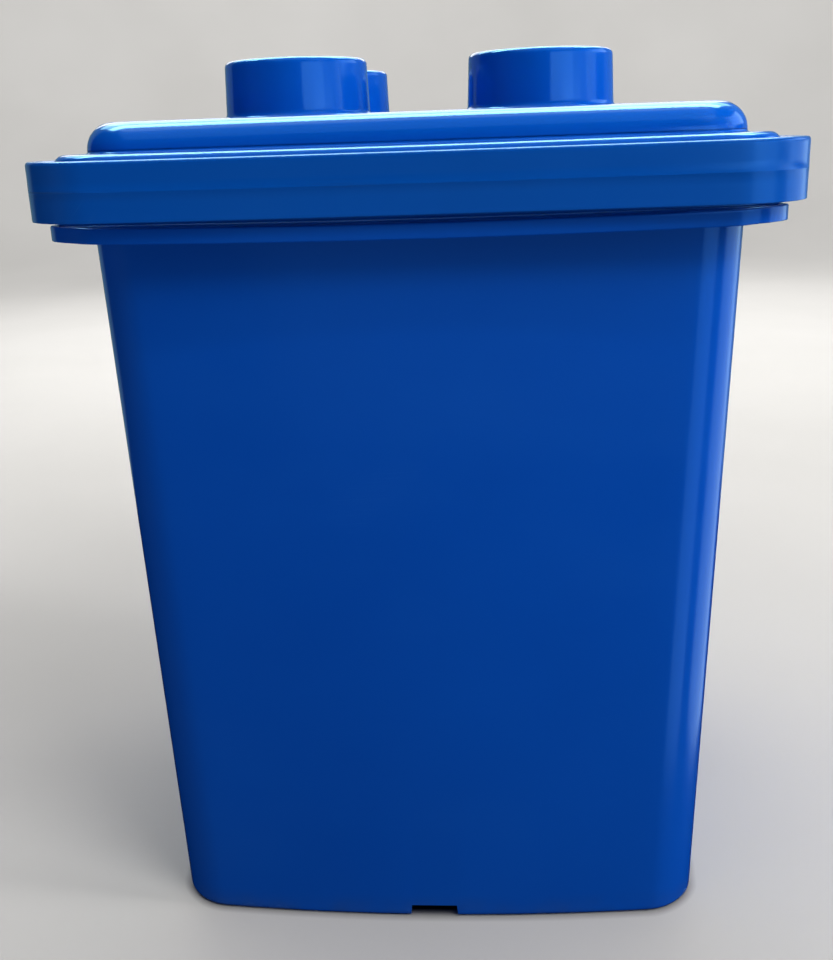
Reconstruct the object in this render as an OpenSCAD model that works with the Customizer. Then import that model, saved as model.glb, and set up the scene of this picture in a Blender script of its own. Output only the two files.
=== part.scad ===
// Square storage tub in the shape of a toy building brick, with a lift-off lid
// and a swinging carry handle. Millimetres, +Z up, origin at the middle of the base.
// The front is -Y, where the handle lies folded down.

/* [Studs] */
// Distance between stud centres, the same both ways
stud_pitch = 80; // [74:1:84]
// Stud diameter at its foot
stud_d = 47.5; // [40:0.5:50]
// Stud height above the raised panel
stud_h = 18; // [12:0.5:24]

/* [Lid] */
// Width of the lid's edge plate, at the corners
plate_w = 211; // [206:0.2:212]
// Height of the edge plate above the tub's rim
plate_h = 5.4; // [4.5:0.1:8]
// Width of the raised panel, at the corners
panel_w = 195.2; // [192:0.2:198]
// Height of the raised panel above the edge plate
panel_h = 8.8; // [8.8:0.1:14]
// Radius along the raised panel's top edge
panel_edge_r = 8; // [3:0.5:8]
// Depth of the skirt that plugs the tub's mouth
plug_depth = 10; // [6:0.5:20]

/* [Tub] */
// Height of the tub, from the table to the top of its rim
tub_h = 257.6; // [200:0.2:300]
// Outside width at the base, at the corners
base_w = 181.8; // [170:0.2:186]
// Outside width at the mouth, at the corners
mouth_w = 195.8; // [194:0.2:198]
// How far the walls bow outwards at the base, halfway along each side
base_bow = 5.5; // [0:0.1:6]
// How far the walls bow outwards at the mouth
mouth_bow = 3; // [0:0.1:3.4]
// Radius of the upright corners at the base
base_corner_r = 15; // [12:0.5:24]
// Radius of the upright corners at the mouth
mouth_corner_r = 15; // [13:0.5:24]
// Thickness of the moulded walls
wall = 2.4; // [2:0.1:3]
// Depth of the hollow under the floor
foot_h = 4.6; // [2:0.1:5]
// Width of the notch in the foot, at the front
notch_w = 16; // [10:0.5:30]

/* [Rim] */
// Width of the rim's upright wall, at the corners
rim_w = 212.4; // [212:0.2:213]
// Height of the rim, from the ledge's underside to its top
rim_h = 18.8; // [18:0.2:24]
// Width of the ledge below the handle, at the corners
ledge_w = 217; // [215:0.2:220]
// Thickness of the ledge
ledge_h = 4.6; // [3:0.1:5]

/* [Handle] */
// Outside width of the handle
handle_w = 227.4; // [225:0.2:236]
// Height of the handle's band
band_h = 17; // [12:0.5:17]
// Thickness of the handle's band
band_t = 5; // [3:0.1:5]
// Outside radius of the handle's corners
handle_corner_r = 24; // [20:0.5:30]
// Diameter of the two pegs that the handle swings on
peg_d = 7.8; // [6:0.1:8]

/* [Hidden] */
plastic = "#0a55b8";
lid_blue = "#1668cf";
handle_blue = "#0d5fc0";

// The rim and what sits on it, from the base up
rim_z = tub_h - rim_h;
ledge_top_z = rim_z + ledge_h;
pivot_z = tub_h - 4.5;
seat_gap = 0.2;
plate_z = tub_h + seat_gap;
panel_z = plate_z + plate_h;
stud_z = panel_z + panel_h;
rim_bow = 0.6;
ledge_bow = 1.6;
plate_bow = 0.8;
panel_bow = 1.6;
rim_corner_r = 17;
ledge_corner_r = 19;
plate_corner_r = 16.5;
plate_edge_r = 3;
panel_corner_r = 16;

// Running gaps
peg_gap = 0.1;
plug_gap = 0.6;
pad_gap = 0.3;

// Floor and foot
floor_z = foot_h + wall;
foot_t = 3;
foot_edge_r = 1.4;
floor_edge_r = 6;
rib_step = 32;
rib_t = 1.6;
pad_len = 20;
pad_y = 35;

// Points round a corner, and along half a wall
corner_steps = 6;
wall_steps = 6;
edge_steps = 3;
cut = 1;
$fn = 72;

// Linear blend from a to b
function mix(a, b, t) = a + (b - a) * t;

// The tub's half width, corner radius and bow at height z, on its outer face
function tub_half(z) = mix(base_w, mouth_w, z / tub_h) / 2;
function tub_corner(z) = mix(base_corner_r, mouth_corner_r, z / tub_h);
function tub_bow(z) = mix(base_bow, mouth_bow, z / tub_h);

// A quarter turn of point p, k times
function turned(p, k) = k == 0 ? p : turned([-p.y, p.x], k - 1);

// Pushes a point of a square's outline outwards, most of all halfway along a side
function bowed(p, half, bow) =
    [p.x * (1 + bow / half * max(0, 1 - pow(p.y / half, 2))),
     p.y * (1 + bow / half * max(0, 1 - pow(p.x / half, 2)))];

// One quarter of a rounded square: a corner's arc, then the wall up to the next corner
function quarter(half, r) =
    concat(
        [for (i = [0 : corner_steps]) let (a = 90 * i / corner_steps)
            [half - r + r * cos(a), half - r + r * sin(a)]],
        [for (i = [1 : wall_steps - 1]) [mix(half - r, r - half, i / wall_steps), half]]);

// A rounded square with bowed sides, at height z
function ring(half, r, bow, z) =
    [for (k = [0 : 3]) for (p = quarter(half, r)) let (q = bowed(turned(p, k), half, bow)) [q.x, q.y, z]];

// A closed solid through a stack of rings, lowest first
module loft(rings) {
    n = len(rings[0]);
    top = len(rings) - 1;
    sides = [for (j = [0 : top - 1]) for (i = [0 : n - 1]) let (a = j * n + i, b = j * n + (i + 1) % n)
        each [[a, a + n, b], [b, a + n, b + n]]];
    base = [for (i = [0 : n - 1]) i];
    cap = [for (i = [n - 1 : -1 : 0]) top * n + i];
    polyhedron(points = [for (r = rings) each r], faces = concat([base, cap], sides), convexity = 6);
}

// A straight-sided block between two heights
module block(half, r, bow, z0, z1) {
    loft([ring(half, r, bow, z0), ring(half, r, bow, z1)]);
}

// Rings that round off a block's top edge by radius e, ending at height z
function rounded_top(half, r, bow, z, e) =
    [for (i = [0 : edge_steps]) let (a = 90 * i / edge_steps)
        ring(half - e * (1 - cos(a)), r - e * (1 - cos(a)), bow, z - e + e * sin(a))];

// The tub's outer face, from its rounded foot to the mouth
module tub_outside() {
    foot = [for (i = [edge_steps : -1 : 0]) let (
            a = 90 * i / edge_steps,
            inset = foot_edge_r * (1 - cos(a)),
            z = foot_edge_r * (1 - sin(a)))
        ring(tub_half(z) - inset, tub_corner(z) - inset, tub_bow(z), z)];
    loft(concat(foot, [ring(tub_half(tub_h), tub_corner(tub_h), tub_bow(tub_h), tub_h)]));
}

// The space inside the tub, with a rounded edge round its floor
module tub_inside() {
    top_z = tub_h + cut;
    floor_edge = [for (i = [edge_steps : -1 : 0]) let (
            a = 90 * i / edge_steps,
            inset = wall + floor_edge_r * (1 - cos(a)),
            z = floor_z + floor_edge_r * (1 - sin(a)))
        ring(tub_half(z) - inset, tub_corner(z) - inset, tub_bow(z), z)];
    loft(concat(floor_edge, [ring(tub_half(top_z) - wall, tub_corner(top_z) - wall, tub_bow(top_z), top_z)]));
}

// The hollow under the floor that leaves the foot standing
module foot_hollow() {
    inset = foot_t;
    block(tub_half(0) - inset, tub_corner(0) - inset, tub_bow(0), -cut, foot_h);
}

// The rim: an upright wall turned down from the mouth, with a ledge along its foot
module rim() {
    difference() {
        union() {
            block(rim_w / 2, rim_corner_r, rim_bow, rim_z, tub_h);
            block(ledge_w / 2, ledge_corner_r, ledge_bow, rim_z, ledge_top_z);
        }
        block(rim_w / 2 - wall, rim_corner_r - wall, rim_bow, rim_z - cut, tub_h - wall);
    }
}

// Ribs that tie the rim's wall to the tub, under the turned-down rim
module rim_ribs() {
    inner = tub_half(rim_z) - wall / 2;
    reach = rim_w / 2 - wall / 2 - inner;
    for (k = [0 : 3])
        for (i = [-2 : 2])
            rotate([0, 0, 90 * k])
                translate([inner, i * rib_step - rib_t / 2, rim_z + ledge_h])
                    cube([reach, rib_t, tub_h - wall / 2 - rim_z - ledge_h]);
}

// The pegs and the four pads that the folded handle rests on
module handle_seats() {
    peg_from = rim_w / 2 - wall / 2;
    peg_to = handle_w / 2 - 0.4;
    pad_from = rim_w / 2 - wall / 2;
    pad_to = ledge_w / 2 + 1.2;
    for (side = [0, 1])
        mirror([side, 0, 0]) {
            translate([peg_from, 0, pivot_z])
                rotate([0, 90, 0])
                    cylinder(d = peg_d, h = peg_to - peg_from);
            for (y = [-pad_y, pad_y])
                translate([pad_from, y - pad_len / 2, ledge_top_z - 0.5])
                    cube([pad_to - pad_from, pad_len, pivot_z - band_h / 2 - pad_gap - ledge_top_z + 0.5]);
        }
}

module tub() {
    color(plastic)
        difference() {
            union() {
                rim();
                tub_outside();
                rim_ribs();
                handle_seats();
            }
            tub_inside();
            foot_hollow();
            translate([-notch_w / 2, -base_w, -cut])
                cube([notch_w, base_w - tub_half(0) + foot_t + cut, foot_h + cut]);
        }
}

// A rounded square outline with true arcs at its corners
module rounded_square(w, r) {
    square([w - 2 * r, w], center = true);
    square([w, w - 2 * r], center = true);
    for (x = [-1, 1])
        for (y = [-1, 1])
            translate([x * (w / 2 - r), y * (w / 2 - r)])
                circle(r);
}

// One flat band bent into a U, with a round eye at each end
module handle() {
    half = handle_w / 2;
    color(handle_blue)
        difference() {
            union() {
                translate([0, 0, pivot_z - band_h / 2])
                    linear_extrude(band_h)
                        difference() {
                            rounded_square(handle_w, handle_corner_r);
                            rounded_square(handle_w - 2 * band_t, handle_corner_r - band_t);
                            translate([-half - cut, 0])
                                square([handle_w + 2 * cut, half + cut]);
                        }
                for (side = [0, 1])
                    mirror([side, 0, 0])
                        translate([half - band_t, 0, pivot_z])
                            rotate([0, 90, 0])
                                cylinder(d = band_h, h = band_t);
            }
            for (side = [0, 1])
                mirror([side, 0, 0])
                    translate([half - band_t - cut, 0, pivot_z])
                        rotate([0, 90, 0])
                            cylinder(d = peg_d + 2 * peg_gap, h = band_t + 2 * cut);
        }
}

// One stud's outline, turned round its own axis: a filleted foot, a slight draft and a rounded top
module stud() {
    foot_r = 2.5;
    top_r = 2.5;
    draft = 0.5;
    r = stud_d / 2;
    foot = [for (a = [0 : 30 : 90]) [r + foot_r * (1 - sin(a)), foot_r * (1 - cos(a))]];
    crown = [for (a = [0 : 30 : 90]) [r - draft - top_r * (1 - cos(a)), stud_h - top_r * (1 - sin(a))]];
    rotate_extrude()
        polygon(concat([[0, -wall / 2], [r + foot_r, -wall / 2]], foot, crown, [[0, stud_h]]));
}

// The lid's outside: edge plate, raised panel, studs and the skirt that plugs the mouth
module lid_outside() {
    half_plate = plate_w / 2;
    half_panel = panel_w / 2;
    plug_z = tub_h - plug_depth;
    plug_half = tub_half(tub_h) - wall - plug_gap;
    plug_end_half = tub_half(plug_z) - wall - plug_gap;
    plug_r = mouth_corner_r - wall - plug_gap;
    difference() {
        loft(concat([ring(half_plate, plate_corner_r, plate_bow, plate_z)],
            rounded_top(half_plate, plate_corner_r, plate_bow, panel_z, plate_edge_r)));
        block(half_plate - wall, plate_corner_r - wall, plate_bow, plate_z - cut, panel_z - wall);
    }
    loft(concat([ring(half_panel, panel_corner_r, panel_bow, panel_z - wall / 2)],
        rounded_top(half_panel, panel_corner_r, panel_bow, stud_z, panel_edge_r)));
    loft([ring(plug_end_half, plug_r, mouth_bow, plug_z), ring(plug_half, plug_r, mouth_bow, panel_z - wall / 2)]);
    for (x = [-0.5, 0.5])
        for (y = [-0.5, 0.5])
            translate([x * stud_pitch, y * stud_pitch, stud_z])
                stud();
}

// The hollow under the lid, up into the panel and each stud
module lid_inside() {
    half = tub_half(tub_h) - 2 * wall - plug_gap;
    r = mouth_corner_r - 2 * wall - plug_gap;
    top_z = stud_z - wall;
    edge_r = panel_edge_r - wall;
    loft(concat([ring(half, r, mouth_bow - 0.4, tub_h - plug_depth - cut)],
        rounded_top(half, r, mouth_bow - 0.4, top_z, edge_r)));
    for (x = [-0.5, 0.5])
        for (y = [-0.5, 0.5])
            translate([x * stud_pitch, y * stud_pitch, top_z - cut])
                cylinder(d = stud_d - 2 * wall - 1, h = stud_h + cut);
}

module lid() {
    color(lid_blue)
        difference() {
            lid_outside();
            lid_inside();
        }
}

tub();
handle();
lid();
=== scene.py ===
"""Looks for the storage tub: its three mouldings with their real edges, their plastics, light and camera.

Lengths are in metres. The front is -Y, +Z is up, and the origin is the middle of the base.
"""
import math

import bmesh
import bpy
import numpy as np
from mathutils import Matrix, Vector


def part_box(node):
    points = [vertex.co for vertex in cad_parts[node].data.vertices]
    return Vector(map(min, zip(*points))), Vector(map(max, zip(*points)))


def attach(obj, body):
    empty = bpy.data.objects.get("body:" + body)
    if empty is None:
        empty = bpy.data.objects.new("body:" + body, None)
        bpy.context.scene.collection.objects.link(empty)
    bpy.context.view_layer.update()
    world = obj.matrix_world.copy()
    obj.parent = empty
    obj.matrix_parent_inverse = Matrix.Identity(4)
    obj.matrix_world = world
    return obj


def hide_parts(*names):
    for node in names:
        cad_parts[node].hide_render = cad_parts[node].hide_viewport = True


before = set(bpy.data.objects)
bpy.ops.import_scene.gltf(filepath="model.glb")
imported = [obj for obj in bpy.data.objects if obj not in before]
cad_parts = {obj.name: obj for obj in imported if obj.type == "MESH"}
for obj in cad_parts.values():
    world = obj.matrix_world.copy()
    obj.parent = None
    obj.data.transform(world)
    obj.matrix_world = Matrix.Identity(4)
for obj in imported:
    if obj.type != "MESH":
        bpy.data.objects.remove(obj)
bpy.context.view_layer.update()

MM = 0.001

# ---------------------------------------------------------------- sizes, from the parts' boxes in model.glb
_, TUB_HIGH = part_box("tub")
LID_LOW, LID_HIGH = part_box("lid")
HANDLE_LOW, HANDLE_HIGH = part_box("handle")
TUB_H = TUB_HIGH.z
STUD_TOP = LID_HIGH.z
PLUG_Z = LID_LOW.z
BAND_LOW, BAND_HIGH = HANDLE_LOW.z, HANDLE_HIGH.z
BAND_H = BAND_HIGH - BAND_LOW
PIVOT_Z = (BAND_LOW + BAND_HIGH) / 2
HANDLE_HALF = HANDLE_HIGH.x
PEG_END = TUB_HIGH.x

# Thicknesses and heights that the boxes don't give
WALL = 2.4 * MM
FOOT_H = 4.6 * MM
FOOT_T = 3.0 * MM
FLOOR_Z = FOOT_H + WALL
RIM_Z = TUB_H - 18.8 * MM
LEDGE_H = 4.6 * MM
LEDGE_TOP = RIM_Z + LEDGE_H
PLATE_Z = TUB_H + 0.2 * MM
PANEL_Z = TUB_H + 5.6 * MM
PANEL_TOP = PANEL_Z + 8.8 * MM
BAND_T = 5.0 * MM
PEG_R = 3.9 * MM
EYE_R = 4.0 * MM
STUD_PITCH = 80 * MM
STUD_R = 23.75 * MM
NOTCH_HALF = 8.0 * MM
STUD_HOLLOW_R = 20.85 * MM
PLUG_GAP = 0.6 * MM
HANDLE_CORNER = 24 * MM

# The tub's wall: half width and bow at base and mouth, its corner radius, and the least one deep inside
BASE_HALF, MOUTH_HALF = 90.9 * MM, 97.9 * MM
BASE_BOW, MOUTH_BOW = 5.5 * MM, 3.0 * MM
WALL_CORNER, LEAST_CORNER = 15 * MM, 3 * MM

# Rounded squares: half width, corner radius and how far the sides bow outwards
LEDGE_BOW, RIM_BOW, PLATE_BOW, PANEL_BOW = 1.6 * MM, 0.6 * MM, 0.8 * MM, 1.6 * MM
LEDGE = (TUB_HIGH.y - LEDGE_BOW, 19 * MM, LEDGE_BOW)
RIM = (106.2 * MM, 17 * MM, RIM_BOW)
PLATE = (LID_HIGH.y - PLATE_BOW, 16.5 * MM, PLATE_BOW)
PANEL = (97.6 * MM, 16 * MM, PANEL_BOW)

# The long front and back edges of the tub's top hang a little in the middle
SAG = 0.45 * MM
SAG_FROM, SAG_FULL = TUB_H - 34 * MM, TUB_H - 19.4 * MM
# The ledge droops a little more towards its edge, and the handle's band sags above it
DROOP = 0.9 * MM
BAND_SAG = 0.3 * MM

CORNER_STEPS = 18
WALL_STEPS = 26
NOTCH_BEVEL = 0.3 * MM
# How far in from the wall the flat floor is closed by one face
FLOOR_INSET = 40 * MM
# Faces that meet at more than this are creased
SHARP_DEG = 32


def mix(a, b, t):
    return a + (b - a) * t


def wall_plan(z, inwards=0.0):
    """The tub's outside at height z, moved inwards."""
    t = z / TUB_H
    half = mix(BASE_HALF, MOUTH_HALF, t) - inwards
    return (half, max(WALL_CORNER - inwards, LEAST_CORNER), mix(BASE_BOW, MOUTH_BOW, t))


def inset(plan, by):
    return (plan[0] - by, plan[1] - by, plan[2])


# ---------------------------------------------------------------- rings and lofts
def wall_fractions():
    """Where a wall's points lie, from 0 to 1, with a pair at each edge of the foot's notch."""
    half, corner, _ = wall_plan(0)
    span = 2 * (half - corner)
    near = [0.5 + s * (NOTCH_HALF + b) / span for s in (-1, 1) for b in (0, NOTCH_BEVEL)]
    even = [i / WALL_STEPS for i in range(1, WALL_STEPS)]
    clear = [f for f in even if all(abs(f - n) > 0.008 for n in near)]
    return sorted(clear + near)


FRACTIONS = wall_fractions()


def ring(half, corner, bow):
    """A rounded square with bowed sides, as an N by 2 array, anticlockwise from the +X side."""
    turn = np.linspace(0, math.pi / 2, CORNER_STEPS + 1)
    arc = np.stack([half - corner + corner * np.cos(turn), half - corner + corner * np.sin(turn)], 1)
    along = np.array(FRACTIONS)
    wall = np.stack([(half - corner) * (1 - 2 * along), np.full(len(along), half)], 1)
    quarter = np.concatenate([arc, wall])
    points = []
    for _ in range(4):
        points.append(quarter)
        quarter = np.stack([-quarter[:, 1], quarter[:, 0]], 1)
    p = np.concatenate(points)
    across = np.clip(1 - (p / half) ** 2, 0, 1)
    return p * (1 + bow / half * across[:, ::-1])


def sagged(points):
    """Lowers the tub's top edges, most of all halfway along each side."""
    x, y, z = points.T
    size = np.maximum(np.abs(x), np.abs(y))
    middle = np.clip(1 - (np.minimum(np.abs(x), np.abs(y)) / np.maximum(size, 1e-6)) ** 2, 0, 1)
    t = np.clip((z - SAG_FROM) / (SAG_FULL - SAG_FROM), 0, 1)
    out = points.copy()
    out[:, 2] -= SAG * middle * t * t * (3 - 2 * t)
    rim, edge = RIM[0] + RIM_BOW, LEDGE[0]
    out[:, 2] -= DROOP * middle * np.clip((size - rim) / (edge - rim), 0, 1)
    return out


def corner_at(plan, z, radius=0.0, steps=5):
    """One corner of a moulding's profile: a rounded square at a height, and the radius that rounds it."""
    return (np.array([plan[0], plan[1], plan[2], z]), radius, steps)


def rounded_profile(corners, support=0.35 * MM):
    """The profile's points with each corner rounded, and a close pair of rings where each curve ends."""
    out = []
    for i, (here, radius, steps) in enumerate(corners):
        if radius == 0 or i in (0, len(corners) - 1):
            out.append(here)
            continue
        to_before = corners[i - 1][0] - here
        to_after = corners[i + 1][0] - here
        lengths = [math.hypot(d[0], d[3]) for d in (to_before, to_after)]
        u, v = to_before / lengths[0], to_after / lengths[1]
        cosine = max(-1.0, min(1.0, u[0] * v[0] + u[3] * v[3]))
        opening = math.acos(cosine)
        reach = radius / math.tan(opening / 2)
        if reach + support < lengths[0]:
            out.append(here + u * (reach + support))
        # An arc through two tangent points, in the skew axes u and v
        swing = math.pi - opening
        for k in range(steps + 1):
            a = swing * k / steps
            start = reach - radius * math.sin(a) - radius * (1 - math.cos(a)) / math.tan(opening)
            far = radius * (1 - math.cos(a)) / math.sin(opening)
            out.append(here + u * start + v * far)
        if reach + support < lengths[1]:
            out.append(here + v * (reach + support))
    return out


def add_loft(bm, profile, shape=None, cap_start=True, cap_end=True):
    """Skins a profile round the square and returns its rings of vertices."""
    rings = []
    for half, corner, bow, z in profile:
        p = ring(half, corner, bow)
        points = np.column_stack([p, np.full(len(p), z)])
        if shape:
            points = shape(points)
        rings.append([bm.verts.new(q) for q in points])
    for low, high in zip(rings, rings[1:]):
        for i in range(len(low)):
            j = (i + 1) % len(low)
            bm.faces.new((low[i], low[j], high[j], high[i]))
    if cap_start:
        bm.faces.new(rings[0][::-1])
    if cap_end:
        bm.faces.new(rings[-1])
    return rings


def add_lathe(bm, centre, profile, segments=96, axis="Z", close=True):
    """Turns a profile of (radius, height) round an axis through centre, and returns its first ring."""
    rings = []
    for radius, height in profile:
        loop = []
        for k in range(segments):
            a = 2 * math.pi * k / segments
            across, up = radius * math.cos(a), radius * math.sin(a)
            offset = (across, up, height) if axis == "Z" else (height, across, up)
            loop.append(bm.verts.new(Vector(centre) + Vector(offset)))
        rings.append(loop)
    for low, high in zip(rings, rings[1:]):
        for i in range(segments):
            j = (i + 1) % segments
            bm.faces.new((low[i], low[j], high[j], high[i]))
    if close:
        bm.faces.new(rings[-1])
    return rings[0]


def arc_points(centre_r, centre_z, radius, start, end, steps):
    """Points of an arc in the (radius, height) plane, angles in degrees."""
    angles = [math.radians(mix(start, end, k / steps)) for k in range(steps + 1)]
    return [(centre_r + radius * math.cos(a), centre_z + radius * math.sin(a)) for a in angles]


def loop_edges(verts):
    """The edges that join a closed loop of vertices."""
    edges = []
    for a, b in zip(verts, verts[1:] + verts[:1]):
        edges.append(next(e for e in a.link_edges if e.other_vert(a) is b))
    return edges


def make_object(name, bm, sharp_deg=SHARP_DEG):
    """Turns a bmesh into a smooth-shaded object with sharp creases."""
    bmesh.ops.recalc_face_normals(bm, faces=bm.faces)
    mesh = bpy.data.meshes.new(name)
    bm.to_mesh(mesh)
    bm.free()
    mesh.shade_smooth()
    mesh.set_sharp_from_angle(angle=math.radians(sharp_deg))
    obj = bpy.data.objects.new(name, mesh)
    bpy.context.scene.collection.objects.link(obj)
    return obj


def add_block(bm, low, high, bevel, turn=0.0):
    """A block with bevelled edges, turned about Z by quarter turns."""
    size = Vector(high) - Vector(low)
    middle = (Vector(high) + Vector(low)) / 2
    place = Matrix.Translation(middle) @ Matrix.Diagonal((*size, 1))
    made = bmesh.ops.create_cube(bm, size=1.0, matrix=place)
    edges = list({e for v in made["verts"] for e in v.link_edges})
    done = bmesh.ops.bevel(bm, geom=edges, offset=bevel, segments=2, profile=0.5, affect="EDGES")
    verts = {v for f in done["faces"] for v in f.verts}
    verts |= {v for v in made["verts"] if v.is_valid}
    bmesh.ops.rotate(bm, verts=list(verts), cent=(0, 0, 0), matrix=Matrix.Rotation(turn, 3, "Z"))


# ---------------------------------------------------------------- tub
def notched(points):
    """Lifts the foot's front into the notch, then lets the top edges sag."""
    out = sagged(points)
    in_front = points[:, 1] < -0.5 * np.abs(points).max()
    front = in_front & (np.abs(points[:, 0]) < NOTCH_HALF + NOTCH_BEVEL / 2)
    out[front, 2] = np.maximum(out[front, 2], FOOT_H)
    out[:, 2] = np.maximum(out[:, 2], 0)
    return out


def tub_profile():
    """The tub's section, from under the floor, round the foot, up the wall and rim, and down the inside."""
    channel_z = TUB_H - WALL
    # A ring close above the notch keeps its lifted points from shading the wall
    above_notch = FOOT_H + 1 * MM
    return rounded_profile([
        corner_at(wall_plan(0, FLOOR_INSET), FOOT_H),
        corner_at(wall_plan(0, FOOT_T + 0.3 * MM), FOOT_H, 1.0 * MM),
        corner_at(wall_plan(0, FOOT_T), 0, 0.4 * MM),
        corner_at(wall_plan(0), 0, 1.9 * MM, 6),
        corner_at(wall_plan(above_notch), above_notch),
        corner_at(wall_plan(60 * MM), 60 * MM),
        corner_at(wall_plan(120 * MM), 120 * MM),
        corner_at(wall_plan(180 * MM), 180 * MM),
        corner_at(wall_plan(channel_z), channel_z, 1.0 * MM),
        corner_at(inset(RIM, WALL), channel_z, 0.8 * MM),
        corner_at(inset(RIM, WALL), RIM_Z, 0.4 * MM),
        corner_at(LEDGE, RIM_Z, 0.4 * MM),
        corner_at(LEDGE, LEDGE_TOP, 0.5 * MM),
        corner_at(RIM, LEDGE_TOP, 0.5 * MM),
        corner_at(RIM, TUB_H, 0.9 * MM),
        corner_at(wall_plan(TUB_H, WALL), TUB_H, 0.9 * MM),
        corner_at(wall_plan(180 * MM, WALL), 180 * MM),
        corner_at(wall_plan(60 * MM, WALL), 60 * MM),
        corner_at(wall_plan(FLOOR_Z, WALL), FLOOR_Z, 6 * MM, 8),
        corner_at(wall_plan(FLOOR_Z, FLOOR_INSET), FLOOR_Z),
    ])


def make_tub():
    bm = bmesh.new()
    add_loft(bm, tub_profile(), shape=notched)
    return make_object("tub_shell", bm)


def make_rim_ribs():
    """Thin ribs under the turned-down rim, five to a side."""
    bm = bmesh.new()
    step, thick, bury = 32 * MM, 1.6 * MM, 1.0 * MM
    for k in range(4):
        for i in range(-2, 3):
            y = i * step
            half, _, bow = wall_plan(TUB_H - 8 * MM)
            start = half + bow * (1 - (y / half) ** 2) - bury
            end = RIM[0] + RIM[2] * (1 - (y / RIM[0]) ** 2) - WALL + bury
            add_block(bm, (start, y - thick / 2, LEDGE_TOP + 0.4 * MM),
                      (end, y + thick / 2, TUB_H - WALL / 2), 0.25 * MM, turn=k * math.pi / 2)
    return make_object("tub_rim_ribs", bm)


def make_pegs():
    """The two pegs that the handle swings on, rounded at the end with a shallow dimple."""
    bm = bmesh.new()
    root = RIM[0] - 1.0 * MM
    length = PEG_END - root
    round_r, dimple_r, dimple_d = 0.6 * MM, 1.6 * MM, 0.5 * MM
    outline = [(PEG_R, 0), (PEG_R, length - round_r - 0.3 * MM)]
    outline += arc_points(PEG_R - round_r, length - round_r, round_r, 0, 90, 5)
    outline += [(dimple_r + 0.3 * MM, length), (dimple_r, length - 0.1 * MM),
                (dimple_r - 0.3 * MM, length - dimple_d)]
    add_lathe(bm, (root, 0, PIVOT_Z), outline, segments=48, axis="X")
    bmesh.ops.mirror(bm, geom=bm.verts[:] + bm.edges[:] + bm.faces[:], axis="X", merge_dist=-1)
    return make_object("tub_pegs", bm)


def make_pads():
    """The four pads on the ledge that the folded handle's arms rest on."""
    bm = bmesh.new()
    long, far = 20 * MM, 35 * MM
    top = BAND_LOW - 0.3 * MM
    for side in (0, 1):
        for y in (-far, far):
            add_block(bm, (RIM[0] - 1.0 * MM, y - long / 2, LEDGE_TOP - 1.0 * MM),
                      (LEDGE[0] + 1.0 * MM, y + long / 2, top), 0.35 * MM, turn=side * math.pi)
    return make_object("tub_pads", bm)


def make_base_ribs():
    """The gate mark and the low ribs under the floor, inside the foot."""
    bm = bmesh.new()
    low, high = 2.4 * MM, FOOT_H + 0.6 * MM
    ring_r, hub_r, thick = 42 * MM, 9 * MM, 1.6 * MM
    for k in range(8):
        reach = 84 * MM if k % 2 == 0 else 104 * MM
        add_block(bm, (hub_r - 1.0 * MM, -thick / 2, low), (reach, thick / 2, high),
                  0.3 * MM, turn=k * math.pi / 4)
    outline = [(ring_r, high), (ring_r, low + 0.3 * MM), (ring_r + 0.3 * MM, low),
               (ring_r + thick - 0.3 * MM, low), (ring_r + thick, low + 0.3 * MM), (ring_r + thick, high)]
    first = add_lathe(bm, (0, 0, 0), outline, close=False)
    hub = [(hub_r, high), (hub_r, low + 0.4 * MM), (hub_r - 0.4 * MM, low), (2.2 * MM, low),
           (2.0 * MM, low - 0.4 * MM), (1.4 * MM, low - 0.5 * MM)]
    add_lathe(bm, (0, 0, 0), hub)
    open_edges = [e for e in bm.edges if e.is_boundary and e.verts[0] not in first]
    bmesh.ops.holes_fill(bm, edges=open_edges, sides=0)
    return make_object("tub_base_ribs", bm)


# ---------------------------------------------------------------- lid
def stud_places():
    half = STUD_PITCH / 2
    return [(x, y) for x in (-half, half) for y in (-half, half)]


def stud_outline():
    """A stud's outside, from a flat collar on the panel, up a filleted foot and over a rounded top."""
    foot, crown, draft = 2.2 * MM, 1.8 * MM, 0.5 * MM
    collar = STUD_R + foot + 0.4 * MM
    fillet = arc_points(STUD_R + foot, PANEL_TOP + foot, foot, 270, 180, 6)
    top = arc_points(STUD_R - draft - crown, STUD_TOP - crown, crown, 0, 90, 8)
    waist = [(STUD_R - 0.02 * MM, PANEL_TOP + foot + 0.4 * MM),
             (STUD_R - draft + 0.02 * MM, STUD_TOP - crown - 0.4 * MM)]
    flat = [(STUD_R - draft - crown - 0.4 * MM, STUD_TOP)]
    return [(collar, PANEL_TOP)] + fillet + waist + top + flat


def stud_hollow():
    """The inside of a stud, from its mouth in the lid's ceiling up to its roof."""
    ceiling = PANEL_TOP - WALL
    roof = STUD_TOP - WALL
    radius = STUD_HOLLOW_R
    mouth = arc_points(radius + 0.8 * MM, ceiling + 0.8 * MM, 0.8 * MM, 270, 180, 4)
    top = arc_points(radius - 1.6 * MM, roof - 1.6 * MM, 1.6 * MM, 0, 90, 5)
    return [(radius + 1.2 * MM, ceiling)] + mouth + top + [(radius - 2.0 * MM, roof)]


def fill_between(bm, outer, holes):
    """Fills the flat area inside a ring of vertices and round its holes."""
    edges = loop_edges(outer)
    for hole in holes:
        edges += loop_edges(hole)
    bmesh.ops.triangle_fill(bm, use_beauty=True, use_dissolve=False, edges=edges)


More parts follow.
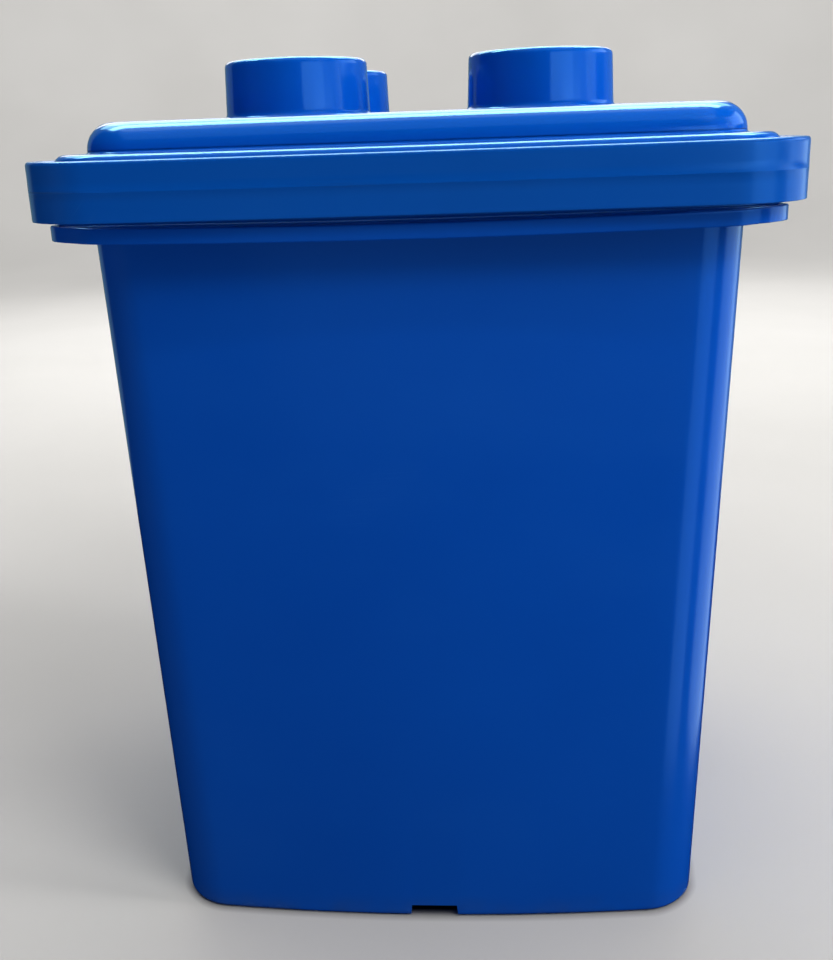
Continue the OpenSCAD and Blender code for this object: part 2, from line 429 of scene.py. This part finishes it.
def lid_profile():
    """The lid's section, from the panel's flat top, out over the plate, and back under it to the ceiling."""
    ceiling = PANEL_TOP - WALL
    lip_in = PANEL_Z - WALL
    plug_out = inset(wall_plan(TUB_H), WALL + PLUG_GAP)
    plug_in = inset(wall_plan(TUB_H), 2 * WALL + PLUG_GAP)
    plug_end_out = inset(wall_plan(PLUG_Z), WALL + PLUG_GAP)
    draft = 0.25 * MM
    return rounded_profile([
        corner_at(inset(PANEL, 9 * MM), PANEL_TOP),
        corner_at(inset(PANEL, draft), PANEL_TOP, 8.0 * MM, 14),
        corner_at(PANEL, PANEL_Z, 0.7 * MM),
        corner_at(PLATE, PANEL_Z, 2.6 * MM, 10),
        corner_at(PLATE, PLATE_Z, 0.3 * MM, 3),
        corner_at(inset(PLATE, WALL), PLATE_Z, 0.3 * MM, 3),
        corner_at(inset(PLATE, WALL), lip_in, 1.4 * MM, 4),
        corner_at(plug_out, lip_in, 0.5 * MM, 3),
        corner_at(plug_end_out, PLUG_Z, 0.9 * MM, 4),
        corner_at(inset(plug_end_out, WALL), PLUG_Z, 0.5 * MM, 3),
        corner_at(plug_in, ceiling, 5.5 * MM, 8),
        corner_at(inset(plug_in, 6 * MM), ceiling),
    ])


def make_lid():
    bm = bmesh.new()
    rings = add_loft(bm, lid_profile(), shape=sagged_plate, cap_start=False, cap_end=False)
    studs = [add_lathe(bm, (x, y, 0), stud_outline()) for x, y in stud_places()]
    fill_between(bm, rings[0], studs)
    hollows = [add_lathe(bm, (x, y, 0), stud_hollow()) for x, y in stud_places()]
    fill_between(bm, rings[-1], hollows)
    return make_object("lid_shell", bm)


def sagged_plate(points):
    """Only the lid's edge plate hangs with the rim it sits on: the panel and the plug stay straight."""
    out = sagged(points)
    x, y, z = points.T
    size = np.maximum(np.abs(x), np.abs(y))
    share = np.clip((size - PANEL[0]) / (PLATE[0] - PANEL[0]), 0, 1)
    share = np.where(z < PLATE_Z - 0.1 * MM, 0, share)
    out[:, 2] = mix(z, out[:, 2], share)
    return out


# ---------------------------------------------------------------- handle
def band_section():
    """The band's section as (outwards, up) pairs, from mid height up and over, down the inside and back.

    The outer face is drafted both ways from a parting line at mid height.
    """
    half = BAND_H / 2
    top, foot, draft, ridge, line = 1.0 * MM, 0.25 * MM, 0.04 * MM, 0.03 * MM, 0.14 * MM
    quarter = [math.radians(18 * k) for k in range(6)]

    def outer_edge(radius, sign):
        flank = [(-ridge, sign * line), (-ridge - 0.03 * MM, sign * 3 * MM),
                 (-ridge - draft * 0.94, sign * (half - radius - 0.3 * MM))]
        curve = [(-ridge - draft - radius * (1 - math.cos(a)), sign * (half - radius * (1 - math.sin(a))))
                 for a in quarter]
        return flank + curve

    def inner_edge(radius, sign):
        curve = [(-BAND_T + radius * (1 - math.sin(a)), sign * (half - radius * (1 - math.cos(a))))
                 for a in quarter]
        return curve + [(-BAND_T, sign * (half - radius - 0.3 * MM)), (-BAND_T, sign * 3 * MM)]

    upper = [(0, line / 2)] + outer_edge(top, 1) + inner_edge(0.7 * MM, 1)
    lower = [(0, -line / 2)] + outer_edge(foot, -1) + inner_edge(0.5 * MM, -1)
    return upper, lower


def band_path():
    """Points along the U with their outward directions, from the right-hand eye round the front."""
    corner = HANDLE_CORNER
    straight = HANDLE_HALF - corner
    path = [((HANDLE_HALF, -straight * t), (1, 0)) for t in np.linspace(0, 1, 12)[:-1]]
    turns = np.linspace(0, math.pi / 2, 25)
    path += [((straight + corner * math.cos(a), -straight - corner * math.sin(a)),
              (math.cos(a), -math.sin(a)))
             for a in turns]
    path += [((straight * (1 - 2 * t), -HANDLE_HALF), (0, -1)) for t in np.linspace(0, 1, 26)[1:-1]]
    path += [((-straight - corner * math.sin(a), -straight - corner * math.cos(a)),
              (-math.sin(a), -math.cos(a)))
             for a in turns]
    path += [((-HANDLE_HALF, -straight * (1 - t)), (-1, 0)) for t in np.linspace(0, 1, 12)[1:]]
    return path


def add_eye_end(bm, upper, lower, side):
    """Rounds off an arm's end: the band's upper half turns about the pivot to meet the lower."""
    steps = 32
    centres = [bm.verts.new((side * (HANDLE_HALF + out), 0, PIVOT_Z)) for out in (0, -BAND_T)]
    rows = []
    for k in range(steps + 1):
        a = math.pi * k / steps
        row = []
        for (out_u, up_u), (out_l, up_l) in zip(upper, lower):
            out, up = mix(out_u, out_l, k / steps), mix(up_u, -up_l, k / steps)
            x, y, z = side * (HANDLE_HALF + out), up * math.sin(a), PIVOT_Z + up * math.cos(a)
            row.append(bm.verts.new((x, y, z)))
        rows.append(row)
    for row, after in zip(rows, rows[1:]):
        for i in range(len(row) - 1):
            bm.faces.new((row[i], row[i + 1], after[i + 1], after[i]))
        bm.faces.new((centres[0], row[0], after[0]))
        bm.faces.new((centres[1], after[-1], row[-1]))


def make_handle():
    """The band swept round the U, its rounded ends, and the eyes cut through them."""
    bm = bmesh.new()
    upper, lower = band_section()
    section = [(0, 0)] + upper + [(-BAND_T, 0)] + lower[::-1]
    rows = []
    for (x, y), (nx, ny) in band_path():
        middle_z = PIVOT_Z - BAND_SAG * (1 - (x / HANDLE_HALF) ** 2)
        rows.append([bm.verts.new((x + nx * out, y + ny * out, middle_z + up)) for out, up in section])
    for row, after in zip(rows, rows[1:]):
        for i in range(len(section)):
            j = (i + 1) % len(section)
            bm.faces.new((row[i], row[j], after[j], after[i]))
    for side in (1, -1):
        add_eye_end(bm, upper, lower, side)
    bmesh.ops.remove_doubles(bm, verts=bm.verts[:], dist=0.002 * MM)
    band = make_object("handle_band", bm)
    for side in (1, -1):
        cut_eye(band, side)
    band.data.shade_smooth()
    band.data.set_sharp_from_angle(angle=math.radians(SHARP_DEG))
    return band


def cut_eye(band, side):
    """Cuts a chamfered round eye through one arm's end."""
    bm = bmesh.new()
    chamfer = 0.4 * MM
    beyond = 1.0 * MM
    outline = [(EYE_R + chamfer + beyond, -beyond), (EYE_R, chamfer), (EYE_R, BAND_T - chamfer),
               (EYE_R + chamfer + beyond, BAND_T + beyond)]
    first = add_lathe(bm, (HANDLE_HALF - BAND_T, 0, PIVOT_Z), outline, segments=64, axis="X")
    bm.faces.new(first[::-1])
    bmesh.ops.scale(bm, verts=bm.verts[:], vec=(side, 1, 1))
    cutter = make_object("eye_cutter", bm)
    cut = band.modifiers.new("eye", "BOOLEAN")
    cut.operation = "DIFFERENCE"
    cut.solver = "EXACT"
    cut.object = cutter
    evaluated = band.evaluated_get(bpy.context.evaluated_depsgraph_get())
    result = bpy.data.meshes.new_from_object(evaluated)
    band.modifiers.remove(cut)
    band.data = result
    bpy.data.objects.remove(cutter)


# ---------------------------------------------------------------- materials
class Nodes:
    """A short way to write a material's node tree."""

    def __init__(self, name):
        self.material = bpy.data.materials.new(name)
        self.material.use_nodes = True
        self.tree = self.material.node_tree
        self.shader = self.tree.nodes["Principled BSDF"]
        self.place = self.add("ShaderNodeTexCoord").outputs["Object"]

    def add(self, kind, inputs=None, **settings):
        node = self.tree.nodes.new(kind)
        for key, value in settings.items():
            setattr(node, key, value)
        for key, value in (inputs or {}).items():
            self.set(node.inputs[key], value)
        return node

    def set(self, socket, value):
        if isinstance(value, bpy.types.NodeSocket):
            self.tree.links.new(value, socket)
        else:
            socket.default_value = value

    def math(self, operation, *values, clamp=False):
        node = self.add("ShaderNodeMath", operation=operation, use_clamp=clamp)
        for socket, value in zip(node.inputs, values):
            self.set(socket, value)
        return node.outputs[0]

    def noise(self, scale, detail=2.0, vector=None, roughness=0.5):
        node = self.add("ShaderNodeTexNoise", {"Vector": vector or self.place, "Scale": scale,
                                               "Detail": detail, "Roughness": roughness})
        return node.outputs["Fac"]

    def remap(self, value, low, high, to_low=0.0, to_high=1.0):
        node = self.add("ShaderNodeMapRange", {"Value": value, "From Min": low, "From Max": high,
                                               "To Min": to_low, "To Max": to_high})
        return node.outputs["Result"]

    def stretched(self, scale, turn=(0, 0, 0)):
        """The object's coordinates, turned and then scaled apart, so that noise on them runs in streaks."""
        turned = self.add("ShaderNodeMapping", {"Vector": self.place, "Rotation": turn})
        return self.add("ShaderNodeMapping", {"Vector": turned.outputs[0], "Scale": scale}).outputs[0]

    def blend(self, factor, a, b):
        # Sockets 6, 7 and 2 are the colour ones of a mix node
        node = self.add("ShaderNodeMix", data_type="RGBA")
        for socket, value in ((node.inputs["Factor"], factor), (node.inputs[6], a), (node.inputs[7], b)):
            self.set(socket, value)
        return node.outputs[2]

    def bump(self, height, distance, strength=1.0, normal=None):
        inputs = {"Height": height, "Distance": distance, "Strength": strength}
        if normal is not None:
            inputs["Normal"] = normal
        return self.add("ShaderNodeBump", inputs).outputs[0]


def scratches(n, turn, sparse, fineness=1500.0):
    """Hairline scratches all one way, as a mask from 0 to 1: more of them for a lower sparse."""
    streak = n.noise(1.0, 1.0, n.stretched((9.0, 9.0, fineness), turn))
    line = n.remap(n.math("ABSOLUTE", n.math("SUBTRACT", streak, 0.5)), 0.0, 0.012, 1.0, 0.0)
    patch = n.remap(n.noise(26.0, 2.0, n.stretched((1, 1, 1), turn)), sparse, sparse + 0.08)
    return n.math("MULTIPLY", line, patch)


def specks(n, cell, size, rare):
    """Small round marks, one at most in each cell, as a mask: fewer for a higher rare."""
    node = n.add("ShaderNodeTexVoronoi", {"Vector": n.place, "Scale": 1.0 / cell, "Randomness": 1.0})
    near = n.remap(node.outputs["Distance"], size / cell * 0.7, size / cell, 1.0, 0.0)
    chance = n.add("ShaderNodeSeparateColor", {"Color": node.outputs["Color"]}).outputs[0]
    chosen = n.math("GREATER_THAN", chance, rare)
    return n.math("MULTIPLY", near, chosen)


def plastic(name, deep, light, tint, roughness, wear, texture, shaded_and_grimy=False, rub_line=None):
    """Moulded coloured plastic: slight flow mottling, orange peel, hairlines, rubbed patches and specks."""
    n = Nodes(name)
    mottling = n.remap(n.noise(9.0, 3.0, roughness=0.55), 0.3, 0.7)
    colour = n.blend(mottling, (*deep, 1), (*light, 1))

    hair = scratches(n, (0, 0.05, 0), 0.70 - 0.06 * wear)
    hair = n.math("MAXIMUM", hair, scratches(n, (0.1, 0.9, 0.3), 0.72 - 0.06 * wear, 1100.0))
    rubbed = n.remap(n.noise(17.0, 4.0, n.stretched((1.0, 1.0, 2.2))), 0.5, 0.78)
    dark = specks(n, 22 * MM, 0.45 * MM, 0.86)
    pale = specks(n, 15 * MM, 0.32 * MM, 0.9)
    colour = n.blend(n.math("MULTIPLY", hair, 0.06 * wear), colour, (0.10, 0.30, 0.72, 1))
    colour = n.blend(n.math("MULTIPLY", rubbed, 0.05 * wear), colour, (0.012, 0.16, 0.62, 1))
    colour = n.blend(n.math("MULTIPLY", dark, 0.55), colour, (0.004, 0.012, 0.04, 1))
    colour = n.blend(n.math("MULTIPLY", pale, 0.35), colour, (0.45, 0.58, 0.80, 1))

    rough = n.math("ADD", n.remap(rubbed, 0.0, 1.0, roughness, roughness + 0.05 * wear),
                   n.remap(n.noise(60.0, 3.0), 0.3, 0.7, -0.012, 0.012))
    rough = n.math("ADD", rough, n.math("MULTIPLY", hair, 0.05))
    height = n.add("ShaderNodeSeparateXYZ", {"Vector": n.place}).outputs["Z"]
    if shaded_and_grimy:
        # Painted shade: from 150 mm down to 10 mm the colour is blended up to 14% towards near-black,
        # standing in for light that falls off lower on the wall
        painted_foot_shade = n.remap(height, 10 * MM, 150 * MM, 0.14, 0.0)
        colour = n.blend(painted_foot_shade, colour, (0.0, 0.01, 0.04, 1))
        # Dirt: noisy dark, rougher marks close above the foot
        near_foot = n.remap(height, 0.5 * MM, 9 * MM, 1.0, 0.0)
        dirt = n.math("MULTIPLY", near_foot, n.remap(n.noise(70.0, 5.0), 0.35, 0.7))
        colour = n.blend(n.math("MULTIPLY", dirt, 0.35), colour, (0.02, 0.04, 0.09, 1))
        rough = n.math("ADD", rough, n.math("MULTIPLY", dirt, 0.15))
    if rub_line is not None:
        off_line = n.math("ABSOLUTE", n.math("SUBTRACT", height, rub_line))
        close = n.remap(off_line, 0.3 * MM, 2.2 * MM, 1.0, 0.0)
        streaks = n.remap(n.noise(1.0, 4.0, n.stretched((22.0, 22.0, 1600.0))), 0.5, 0.66)
        rub = n.math("MULTIPLY", close, n.math("MULTIPLY", streaks, n.remap(n.noise(14.0), 0.42, 0.6)))
        colour = n.blend(n.math("MULTIPLY", rub, 0.45), colour, (0.01, 0.045, 0.16, 1))
        rough = n.math("ADD", rough, n.math("MULTIPLY", rub, 0.12))

    peel = n.bump(n.noise(110.0, 2.0), 0.030 * MM, texture)
    grain = n.bump(n.noise(1600.0, 2.0), 0.002 * MM, texture, peel)
    scored = n.bump(n.math("MULTIPLY", hair, -1.0), 0.004 * MM, 0.8, grain)

    shader = n.shader
    n.set(shader.inputs["Base Color"], colour)
    n.set(shader.inputs["Roughness"], n.math("MINIMUM", rough, 0.95))
    n.set(shader.inputs["Normal"], scored)
    shader.inputs["IOR"].default_value = 1.49
    shader.inputs["Specular Tint"].default_value = (*tint, 1)
    shader.inputs["Subsurface Weight"].default_value = 0.06
    shader.inputs["Subsurface Radius"].default_value = (0.3, 0.6, 1.0)
    shader.inputs["Subsurface Scale"].default_value = 1.5 * MM
    return n.material


def floor_material():
    """A plain pale surface with a trace of unevenness, and a painted contact shadow where the tub stands on
    it.
    """
    n = Nodes("pale_floor")
    tone = n.remap(n.noise(3.0, 3.0), 0.3, 0.7)
    colour = n.blend(tone, (0.41, 0.40, 0.385, 1), (0.44, 0.43, 0.415, 1))
    half, corner, bow = wall_plan(0)
    parts = n.add("ShaderNodeSeparateXYZ", {"Vector": n.place}).outputs
    across, along = n.math("ABSOLUTE", parts["X"]), n.math("ABSOLUTE", parts["Y"])

    def past_corner(a, b):
        """How far a point lies past the start of the foot's rounded corner, along one axis."""
        share = n.math("MINIMUM", n.math("DIVIDE", b, half), 1.0)
        bulge = n.math("MULTIPLY", n.math("SUBTRACT", 1.0, n.math("POWER", share, 2.0)), bow)
        return n.math("SUBTRACT", a, n.math("ADD", bulge, half - corner))

    past_x, past_y = past_corner(across, along), past_corner(along, across)
    round_x, round_y = (n.math("POWER", n.math("MAXIMUM", past, 0.0), 2.0) for past in (past_x, past_y))
    reach = n.math("SQRT", n.math("ADD", round_x, round_y))
    outside = n.math("SUBTRACT", reach, corner)
    # Painted shadow: near-black under the tub's foot, fading out from 4 mm inside to 3 mm outside its edge
    shade = n.remap(outside, -4 * MM, 3 * MM, 1.0, 0.0)
    n.set(n.shader.inputs["Base Color"], n.blend(shade, colour, (0.006, 0.006, 0.006, 1)))
    n.set(n.shader.inputs["Roughness"], n.remap(n.noise(40.0, 2.0), 0.3, 0.7, 0.85, 0.95))
    n.set(n.shader.inputs["Normal"], n.bump(n.noise(500.0, 2.0), 0.05 * MM, 0.3))
    n.shader.inputs["Specular IOR Level"].default_value = 0.0
    return n.material


# ---------------------------------------------------------------- stage, light and camera
def make_floor():
    """A round pale floor that sweeps up into a wall all round, well beyond every camera."""
    bm = bmesh.new()
    flat_r, sweep, top = 1.9, 0.9, 2.6
    outline = [(0.02, 0), (0.5, 0), (1.2, 0)]
    outline += [(flat_r + sweep * math.sin(a), sweep * (1 - math.cos(a)))
                for a in (math.radians(7.5 * k) for k in range(13))]
    outline += [(flat_r + sweep, top)]
    first = add_lathe(bm, (0, 0, 0), outline, close=False)
    bm.faces.new(first[::-1])
    floor = make_object("floor", bm, sharp_deg=60)
    floor.data.flip_normals()
    floor.data.materials.append(floor_material())
    # Only the camera sees it: it neither lights the plastic, nor is mirrored in it,
    # nor blocks the world's light from below
    floor.visible_diffuse = False
    floor.visible_glossy = False
    floor.visible_shadow = False


def make_light(name, place, target, size, watts, lit):
    """A soft rectangular light that faces the target.

    It lights "all", or only the "colour" of what it reaches, or is only seen mirrored: cyan as "gloss",
    or bluer as "blue gloss".
    """
    data = bpy.data.lights.new(name, "AREA")
    data.shape = "RECTANGLE"
    data.size, data.size_y = size
    data.energy = watts
    lamp = bpy.data.objects.new(name, data)
    lamp.location = place
    lamp.rotation_euler = (Vector(target) - Vector(place)).to_track_quat("-Z", "Y").to_euler()
    lamp.visible_camera = False
    if lit in GLOSS_TINTS:
        data.color = GLOSS_TINTS[lit]
    lamp.visible_diffuse = "gloss" not in lit
    lamp.visible_glossy = lit != "colour"
    bpy.context.scene.collection.objects.link(lamp)


GLOSS_TINTS = {"gloss": (0.50, 0.95, 1.0), "blue gloss": (0.45, 0.70, 1.0)}
LIGHTS = [
    # name, place, target, size, watts, what it lights
    ("back_sky", (-0.15, 1.35, 1.15), (0, 0, 0.27), (1.6, 1.2), 15.0, "all"),
    ("top_sky", (-0.10, 0.35, 1.75), (0, 0, 0.27), (1.6, 1.0), 8.0, "all"),
    ("key_high", (0.60, -0.65, 1.00), (0, 0, 0.20), (0.5, 0.4), 7.6, "colour"),
    ("right_front", (0.95, -0.75, 0.75), (0, 0, 0.22), (0.4, 0.5), 1.8, "colour"),
    ("right_window", (1.35, -0.25, 0.75), (0, 0, 0.20), (0.25, 0.9), 12.0, "colour"),
    ("left_low", (-1.10, -0.60, 0.30), (0, 0, 0.20), (0.6, 0.6), 0.7, "colour"),
    ("wall_wash", (0.0, 0.70, 1.70), (0, 2.4, 0.8), (2.0, 0.6), 70.0, "colour"),
    ("front_wash", (0.0, -0.70, 1.70), (0, -2.4, 0.8), (2.0, 0.6), 40.0, "colour"),
    ("left_wash", (-0.70, 0.0, 1.70), (-2.4, 0, 0.8), (0.6, 2.0), 20.0, "colour"),
    ("right_wash", (0.70, 0.0, 1.70), (2.4, 0, 0.8), (0.6, 2.0), 20.0, "colour"),
    ("edge_high", (-0.1, 0.54, 1.67), (0, -0.10, 0.27), (2.2, 0.48), 65.0, "gloss"),
    ("edge_low", (-0.1, 1.01, 1.38), (0, -0.10, 0.27), (2.2, 0.65), 20.0, "gloss"),
    ("wall_glow", (0.0, 0.32, 0.55), (0, 0, 0.55), (1.6, 1.1), 1.5, "gloss"),
    ("ceiling", (0.10, -0.55, 1.75), (0, 0, 0.27), (2.2, 1.5), 10.0, "blue gloss"),
    ("side_strip", (1.06, 0.28, -0.15), (0, 0, -0.15), (1.0, 0.9), 5.2, "blue gloss"),
    ("front_strip", (0.80, -0.75, -0.10), (0, 0, -0.10), (0.58, 1.0), 2.9, "blue gloss"),
    ("stud_dim", (0.64, -1.02, 0.42), (0, 0, 0.42), (0.75, 0.35), 2.2, "blue gloss"),
    ("stud_bright", (1.13, -0.39, 0.42), (0, 0, 0.42), (0.92, 0.35), 1.2, "blue gloss"),
    ("panel_end", (1.20, 0.30, 0.70), (0, 0, 0.27), (0.9, 0.5), 4.0, "blue gloss"),
    ("front_glow", (0.12, -1.30, 0.05), (0, 0, 0.05), (1.0, 0.5), 0.5, "blue gloss"),
]
WORLD_ABOVE = 0.04
WORLD_BELOW = 0.50


def make_lights():
    for light in LIGHTS:
        make_light(*light)
    world = bpy.data.worlds.new("studio")
    world.use_nodes = True
    tree = world.node_tree
    background = tree.nodes["Background"]
    place = tree.nodes.new("ShaderNodeTexCoord").outputs["Generated"]
    split = tree.nodes.new("ShaderNodeSeparateXYZ")
    tree.links.new(place, split.inputs[0])
    share = tree.nodes.new("ShaderNodeMapRange")
    tree.links.new(split.outputs["Z"], share.inputs["Value"])
    limits = {"From Min": -0.06, "From Max": 0.06, "To Min": WORLD_BELOW, "To Max": WORLD_ABOVE}
    for name, value in limits.items():
        share.inputs[name].default_value = value
    tree.links.new(share.outputs["Result"], background.inputs["Strength"])
    background.inputs["Color"].default_value = (0.96, 0.98, 1.0, 1)
    bpy.context.scene.world = world
    world.cycles_visibility.glossy = False


def make_camera():
    """The camera: where it stands, where it points and its focal length."""
    stand = Vector((21.7, -426.5, 265.1)) * MM
    yaw, pitch, roll = (math.radians(a) for a in (-3.95, 17.22, -1.99))
    focal_px, picture_px = 1109.0, 960
    right = Vector((math.cos(yaw), -math.sin(yaw), 0))
    ahead = Vector((math.sin(yaw) * math.cos(pitch), math.cos(yaw) * math.cos(pitch), -math.sin(pitch)))
    up = right.cross(ahead)
    rolled_right = right * math.cos(roll) + up * math.sin(roll)
    rolled_up = up * math.cos(roll) - right * math.sin(roll)
    data = bpy.data.cameras.new("camera")
    data.sensor_width = 36.0
    data.lens = focal_px / picture_px * data.sensor_width
    data.clip_start = 0.01
    camera = bpy.data.objects.new("camera", data)
    axes = Matrix((rolled_right, rolled_up, -ahead)).transposed()
    camera.matrix_world = Matrix.Translation(stand) @ axes.to_4x4()
    bpy.context.scene.collection.objects.link(camera)
    bpy.context.scene.camera = camera


# ---------------------------------------------------------------- putting it together
TUB_BLUES = ((0.0006, 0.063, 0.42), (0.0010, 0.070, 0.45))
LID_BLUES = ((0.0008, 0.080, 0.46), (0.0012, 0.088, 0.50))
HANDLE_BLUES = ((0.0008, 0.063, 0.35), (0.0012, 0.072, 0.39))


def dress(pieces, body, material):
    """Each piece rides on its body, stands for that body's CAD node and takes the material."""
    for piece in pieces:
        piece.data.materials.clear()
        piece.data.materials.append(material)
        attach(piece, body)
        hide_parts(body)


make_camera()
make_lights()
make_floor()
bpy.context.scene.view_settings.view_transform = "Standard"

tub_plastic = plastic("tub_plastic", *TUB_BLUES, (0.25, 0.62, 1.0), 0.17, 0.7, 0.5, shaded_and_grimy=True)
lid_plastic = plastic("lid_plastic", *LID_BLUES, (0.35, 0.72, 1.0), 0.12, 0.5, 0.4)
handle_plastic = plastic("handle_plastic", *HANDLE_BLUES, (0.25, 0.62, 1.0), 0.20, 1.0, 0.6, rub_line=PIVOT_Z)

tub_pieces = [make_tub(), make_rim_ribs(), make_pegs(), make_pads(), make_base_ribs()]
dress(tub_pieces, "tub", tub_plastic)
dress([make_lid()], "lid", lid_plastic)
dress([make_handle()], "handle", handle_plastic)
